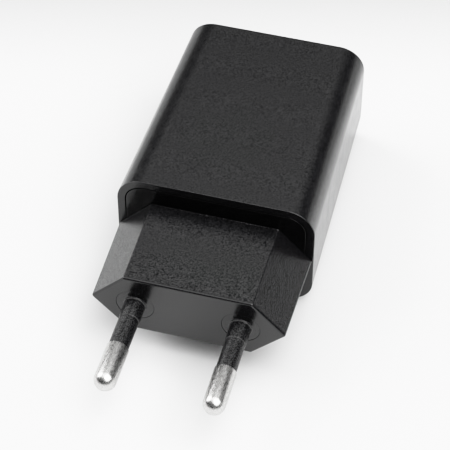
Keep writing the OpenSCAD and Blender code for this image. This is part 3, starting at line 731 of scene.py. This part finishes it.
def block_catches():
    """A bar over and a bar under the spigot, behind the cap's plate."""
    catch_y = RIM_Y + CAP_PLATE + CATCH_GAP
    half_w = CATCH_W / 2
    bars = []
    for side in (-1, 1):
        z = PLUG_Z + side * (BASE[1] / 2 - SPIGOT_INSET)
        low = (-half_w, catch_y, z - CATCH_RISE)
        high = (half_w, catch_y + CATCH_T, z + CATCH_RISE)
        bars.append(brick(low, high))
    return bars


def build_block(pin_xs):
    """Rounded face, fine rear lip, hollow spigot with catches, and a boss and a bore for each pin."""
    base_y = FACE_Y + BLOCK_LEN
    rings = [block_ring(FACE_Y + depth, LIP + inset) for inset, depth in quarter(FACE_EDGE)]
    rings += [block_ring(base_y - LIP_LEN - LIP, LIP), block_ring(base_y - LIP_LEN, LIP / 4)]
    rings += [block_ring(base_y - depth, inset) for inset, depth in reversed(list(quarter(LIP)))]
    block = make_piece("plug_body", loft(rings))
    spigot_end = plug_high.y
    spigot = clipped_hexagon(BASE, SPIGOT_INSET, SPIGOT_HALF_W)
    combine(block, [prism(spigot, base_y - MM, spigot_end, PLUG_Z), *block_catches()], "UNION")
    cavity = clipped_hexagon(FACE, BLOCK_WALL, CAVITY_HALF_W)
    combine(block, [prism(cavity, FACE_Y + FRONT_WALL, spigot_end + MM, PLUG_Z)], "DIFFERENCE")
    boss = [(0, FACE_Y + MM), (BOSS_R, FACE_Y + MM), (BOSS_R, FACE_Y + BOSS_END), (0, FACE_Y + BOSS_END)]
    combine(block, [lathe(boss, x, PLUG_Z) for x in pin_xs], "UNION")
    pocket = [(0, FACE_Y + BOSS_END + MM), (BORE_R, FACE_Y + BOSS_END + MM), (BORE_R, FACE_Y + POCKET_T),
              (POCKET_R, FACE_Y + POCKET_T), (POCKET_R, FACE_Y - MM), (0, FACE_Y - MM)]
    combine(block, [lathe(pocket, x, PLUG_Z) for x in pin_xs], "DIFFERENCE")
    weigh(block)
    dress(block, "plug_block")


def build_pin(side, x):
    """Round nose, drawn shank, thin core, riveted head and solder cup."""
    low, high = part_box(f"pin_{side}")
    nose = low.y + PIN_R
    profile = []
    for step in range(NOSE_STEPS + 1):
        a = math.radians(90) * step / NOSE_STEPS
        profile.append((PIN_R * math.sin(a), nose - PIN_R * math.cos(a)))
    bare_end = low.y + BARE_LEN
    head_y = FACE_Y + BOSS_END
    head_end = head_y + HEAD_T
    cup_bottom = high.y - CUP_DEPTH
    shank = [(PIN_R, nose + MM), (PIN_R, bare_end), (PIN_CORE_R, bare_end), (PIN_CORE_R, head_y),
             (HEAD_R, head_y), (HEAD_R, head_end), (CUP_R, head_end), (CUP_R, high.y),
             (CUP_BORE_R, high.y), (CUP_BORE_R, cup_bottom), (0, cup_bottom)]
    profile += fillet(shank, PIN_EDGE)
    pin = make_piece(f"pin_turned_{side}", lathe(profile, x, PLUG_Z), TURNED_CREASE)
    dress(pin, f"pin_{side}")


def build_pin_sleeve(side, x):
    """Two plain lengths with a step between them, a bead at the root and a flange in the face."""
    tip_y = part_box(f"pin_sleeve_{side}")[0].y
    step_y = FACE_Y - SLEEVE_STEP
    bead_r = SLEEVE_BASE_R + BEAD_RISE
    bead_y = FACE_Y - BEAD_LEN
    flange_y = FACE_Y + FLANGE_SINK
    flange_end = FACE_Y + POCKET_T
    middle = ((bead_r + FLANGE_R) / 2, flange_y)
    tube = [(BORE_R, tip_y), (SLEEVE_TIP_R, tip_y), (SLEEVE_TIP_R, step_y), (SLEEVE_BASE_R, step_y),
            (SLEEVE_BASE_R, bead_y), (bead_r, bead_y), (bead_r, flange_y), middle]
    flange = [middle, (FLANGE_R, flange_y), (FLANGE_R, flange_end), (BORE_R, flange_end)]
    profile = fillet(tube, SLEEVE_EDGE) + fillet(flange, FLANGE_EDGE)[1:]
    sleeve = make_piece(f"pin_jacket_{side}", lathe(profile, x, PLUG_Z, closed=True), TURNED_CREASE)
    dress(sleeve, f"pin_sleeve_{side}")


# ---- USB port ----

def build_port_shell():
    """Drawn steel shell with two sprung fingers in its top, two in its bottom, and a tab on each side."""
    low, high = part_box("usb_shell")
    start_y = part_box("usb_insulator")[0].y
    mouth_y = high.y
    lip = list(quarter(SHELL_WALL / 3))
    outer = [port_ring(mouth_y - depth, -inset) for inset, depth in reversed(lip)]
    inner = [port_ring(mouth_y - depth, inset - SHELL_WALL) for inset, depth in lip]
    rings = [port_ring(start_y, 0), *outer, *inner, port_ring(start_y, -SHELL_WALL)]
    shell = make_piece("port_shell", loft(rings, closed=True))
    root_y = mouth_y - FINGER_BACK
    free_y = root_y - FINGER_LEN
    half = FINGER_W / 2 + FINGER_SLIT
    windows = [brick((x - half, free_y - FINGER_SLIT, low.z - MM), (x + half, root_y, high.z + MM))
               for x in (-FINGER_X, FINGER_X)]
    combine(shell, windows, "DIFFERENCE")
    parts = []
    for x in (-FINGER_X, FINGER_X):
        for side, wall_z in ((1, high.z), (-1, low.z)):
            middle = wall_z - side * SHELL_WALL / 2
            path = [(root_y - run, middle - side * drop) for run, drop in FINGER_BEND]
            parts.append(ribbon(fillet(path, FINGER_BEND_R), SHELL_WALL, x, FINGER_W))
    for side in (-1, 1):
        x = side * (high.x - SHELL_WALL / 2)
        tab_low = (x - SHELL_WALL / 2, low.y, PORT.z - TAB_H / 2)
        tab_high = (x + SHELL_WALL / 2, start_y, PORT.z + TAB_H / 2)
        parts.append(brick(tab_low, tab_high, SHELL_WALL / 6))
    for bm in parts:
        part = bpy.data.meshes.new("part")
        bmesh.ops.recalc_face_normals(bm, faces=bm.faces)
        bm.to_mesh(part)
        bm.free()
        join_mesh(shell, part)
    weigh(shell)
    dress(shell, "usb_shell")


def build_port_insulator():
    """Moulded base and tongue, with a groove under the tongue and a slot in the base for each contact."""
    low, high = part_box("usb_insulator")
    fit = SHELL_WALL + INSULATOR_GAP
    front_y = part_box("usb_contact_tails")[1].y
    rings = [port_ring(low.y, -fit)]
    rings += [port_ring(front_y - depth, -fit - inset)
              for inset, depth in reversed(list(quarter(INSULATOR_EDGE)))]
    base = make_piece("port_tongue", loft(rings))
    half_w = TONGUE_W / 2
    top_z = TONGUE_Z + TONGUE_T
    tongue = brick((-half_w, front_y - MM, TONGUE_Z), (half_w, high.y, top_z), TONGUE_EDGE)
    combine(base, [tongue], "UNION")
    cuts = []
    for x in CONTACT_XS:
        cuts.append(brick((x - GROOVE_W / 2, front_y, TONGUE_Z - MM),
                          (x + GROOVE_W / 2, high.y - GROOVE_END, TONGUE_Z + GROOVE_H)))
        cuts.append(brick((x - TAIL_W / 2, low.y - MM, TONGUE_Z + TAIL_LOW),
                          (x + TAIL_W / 2, front_y + MM, TONGUE_Z + TAIL_HIGH)))
    combine(base, cuts, "DIFFERENCE")
    weigh(base)
    dress(base, "usb_insulator")


def build_contacts():
    """Four flat spring strips, bowed below the tongue, their tips hooked up."""
    root_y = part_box("usb_contact_1")[0].y
    path = [(root_y + run, TONGUE_Z + rise) for run, rise in CONTACT_BEND]
    path = fillet(path, CONTACT_BEND_R, steps=BEND_STEPS)
    for number, x in enumerate(CONTACT_XS, 1):
        contact = make_piece(f"port_contact_{number}", ribbon(path, CONTACT_T, x, CONTACT_W))
        weigh(contact)
        dress(contact, f"usb_contact_{number}", f"usb_contact_{number}")


# ---- room, light and camera ----

# Floor colour, and a painted shade: the floor darkens behind a line that starts at DIM_START, runs over
# DIM_WIDTH and is turned by DIM_TURN degrees
FLOOR_HALF = 3.0
FLOOR_WHITE = (0.81, 0.81, 0.81)
FLOOR_PAINTED_SHADE = (0.46, 0.46, 0.46)
DIM_START = 42 * MM
DIM_WIDTH = 50 * MM
DIM_TURN = -15


def build_floor():
    """A wide pale table top with a very slight tooth, and a painted shade that darkens it behind a slanting
    line some way back.
    """
    bm = bmesh.new()
    bmesh.ops.create_grid(bm, x_segments=8, y_segments=8, size=FLOOR_HALF)
    floor = make_piece("table_top", bm)
    finish = Finish("table_white", ior=1.45)
    turn = finish.nodes.new("ShaderNodeMapping")
    turn.inputs["Rotation"].default_value = (0, 0, math.radians(DIM_TURN))
    finish.links.new(finish.place, turn.inputs["Vector"])
    finish.place = turn.outputs["Vector"]
    # Painted shade: the floor's colour darkens smoothly behind the slanting line
    painted_shade = finish.from_y(DIM_START, DIM_WIDTH, "SMOOTHSTEP")
    finish.colour(painted_shade, FLOOR_WHITE, FLOOR_PAINTED_SHADE, 0, 1)
    finish.rough(finish.noise(5 * MM), 0.5, 0.6)
    finish.shader.inputs["Specular IOR Level"].default_value = 0.2
    finish.bump(finish.noise(0.8 * MM), 0.005 * MM)
    floor.data.materials.append(finish.material)


# Brightness of the room by a direction's z, from level up, and the y where the front and the back begin
ROOM_BACK = [(0.0, 1.6), (0.09, 0.5), (0.18, 0.08), (0.55, 0.05), (0.66, 0.5), (0.8, 0.54), (0.92, 2.4)]
ROOM_FRONT = [(0.0, 1.2), (0.04, 0.06), (0.6, 0.05), (0.85, 0.4), (1.0, 0.6)]
FRONT_Y = -0.35
BACK_Y = 0.05


def build_surroundings():
    """A white ceiling, dark walls, and a bright horizon behind and beside the charger."""
    world = bpy.data.worlds.new("studio")
    bpy.context.scene.world = world
    world.use_nodes = True
    nodes, links = world.node_tree.nodes, world.node_tree.links
    direction = nodes.new("ShaderNodeTexCoord")
    split = nodes.new("ShaderNodeSeparateXYZ")
    links.new(direction.outputs["Generated"], split.inputs["Vector"])
    height = nodes.new("ShaderNodeMapRange")
    height.inputs["From Min"].default_value = -1.0
    links.new(split.outputs["Z"], height.inputs["Value"])

    def ramp(levels):
        made = nodes.new("ShaderNodeValToRGB")
        links.new(height.outputs["Result"], made.inputs["Fac"])
        while len(made.color_ramp.elements) < len(levels):
            made.color_ramp.elements.new(0.5)
        for element, (z, level) in zip(made.color_ramp.elements, levels):
            element.position = (z + 1) / 2
            element.color = (level, level, level, 1)
        return made.outputs["Color"]

    back = ramp(ROOM_BACK)
    front = ramp(ROOM_FRONT)
    facing = nodes.new("ShaderNodeMapRange")
    facing.inputs["From Min"].default_value = FRONT_Y
    facing.inputs["From Max"].default_value = BACK_Y
    links.new(split.outputs["Y"], facing.inputs["Value"])
    mix = nodes.new("ShaderNodeMixRGB")
    links.new(facing.outputs["Result"], mix.inputs["Fac"])
    links.new(front, mix.inputs["Color1"])
    links.new(back, mix.inputs["Color2"])
    links.new(mix.outputs["Color"], nodes["Background"].inputs["Color"])


def softbox(name, azimuth, elevation, distance, size, power):
    """A square lamp that faces the charger; azimuth 0 is behind it, 90 on the +X side."""
    a, e = math.radians(azimuth), math.radians(elevation)
    lamp = bpy.data.lights.new(name, "AREA")
    lamp.size = size
    lamp.energy = power
    holder = bpy.data.objects.new(name, lamp)
    bpy.context.scene.collection.objects.link(holder)
    away = Vector((math.sin(a) * math.cos(e), math.cos(a) * math.cos(e), math.sin(e)))
    holder.location = away * distance
    holder.rotation_euler = away.to_track_quat("Z", "Y").to_euler()


def build_camera():
    """Looks down at the charger from in front of its pins and a little to the right."""
    target = Vector((0.784, -0.309, 12.0)) * MM
    azimuth, elevation, roll = (math.radians(d) for d in (15.134, 47.787, 0.132))
    distance = 338.05 * MM
    away = Vector((math.sin(azimuth) * math.cos(elevation), -math.cos(azimuth) * math.cos(elevation),
                   math.sin(elevation)))
    camera = bpy.data.cameras.new("camera")
    camera.sensor_width = 36
    camera.lens = 149.3
    camera.clip_start = 0.01
    camera.clip_end = 20
    holder = bpy.data.objects.new("camera", camera)
    bpy.context.scene.collection.objects.link(holder)
    turn = away.to_track_quat("Z", "Y").to_matrix() @ Matrix.Rotation(roll, 3, "Z")
    holder.matrix_world = Matrix.Translation(target + away * distance) @ turn.to_4x4()
    bpy.context.scene.camera = holder


# Scene brightness and the brightness shown for it
TONE_WHITE = 2.5
TONE = [(0, 0), (0.01, 0.0045), (0.03, 0.025), (0.06, 0.057), (0.15, 0.15), (0.3, 0.3), (0.5, 0.49),
        (0.75, 0.68), (1.0, 0.8), (1.5, 0.93), (2.0, 0.965), (TONE_WHITE, 1.0)]


def set_tone():
    """A plain display transform with a short toe and a long shoulder near white."""
    view = bpy.context.scene.view_settings
    view.view_transform = "Standard"
    view.look = "None"
    view.use_curve_mapping = True
    view.curve_mapping.white_level = (TONE_WHITE,) * 3
    curve = view.curve_mapping.curves[3]
    for light, shown in TONE[1:-1]:
        curve.points.new(light / TONE_WHITE, shown)
    curve.points[-1].location = (1.0, TONE[-1][1])
    view.curve_mapping.update()


dress_cad_nodes()
build_case()
build_cap()
build_block(PIN_X.values())
for side, x in PIN_X.items():
    build_pin(side, x)
    build_pin_sleeve(side, x)
build_port_shell()
build_port_insulator()
build_contacts()
build_floor()
build_surroundings()
softbox("lamp_left", azimuth=-78, elevation=36, distance=0.7, size=0.5, power=4.1)
softbox("lamp_right", azimuth=116, elevation=60, distance=0.7, size=0.7, power=8.2)
build_camera()
set_tone()
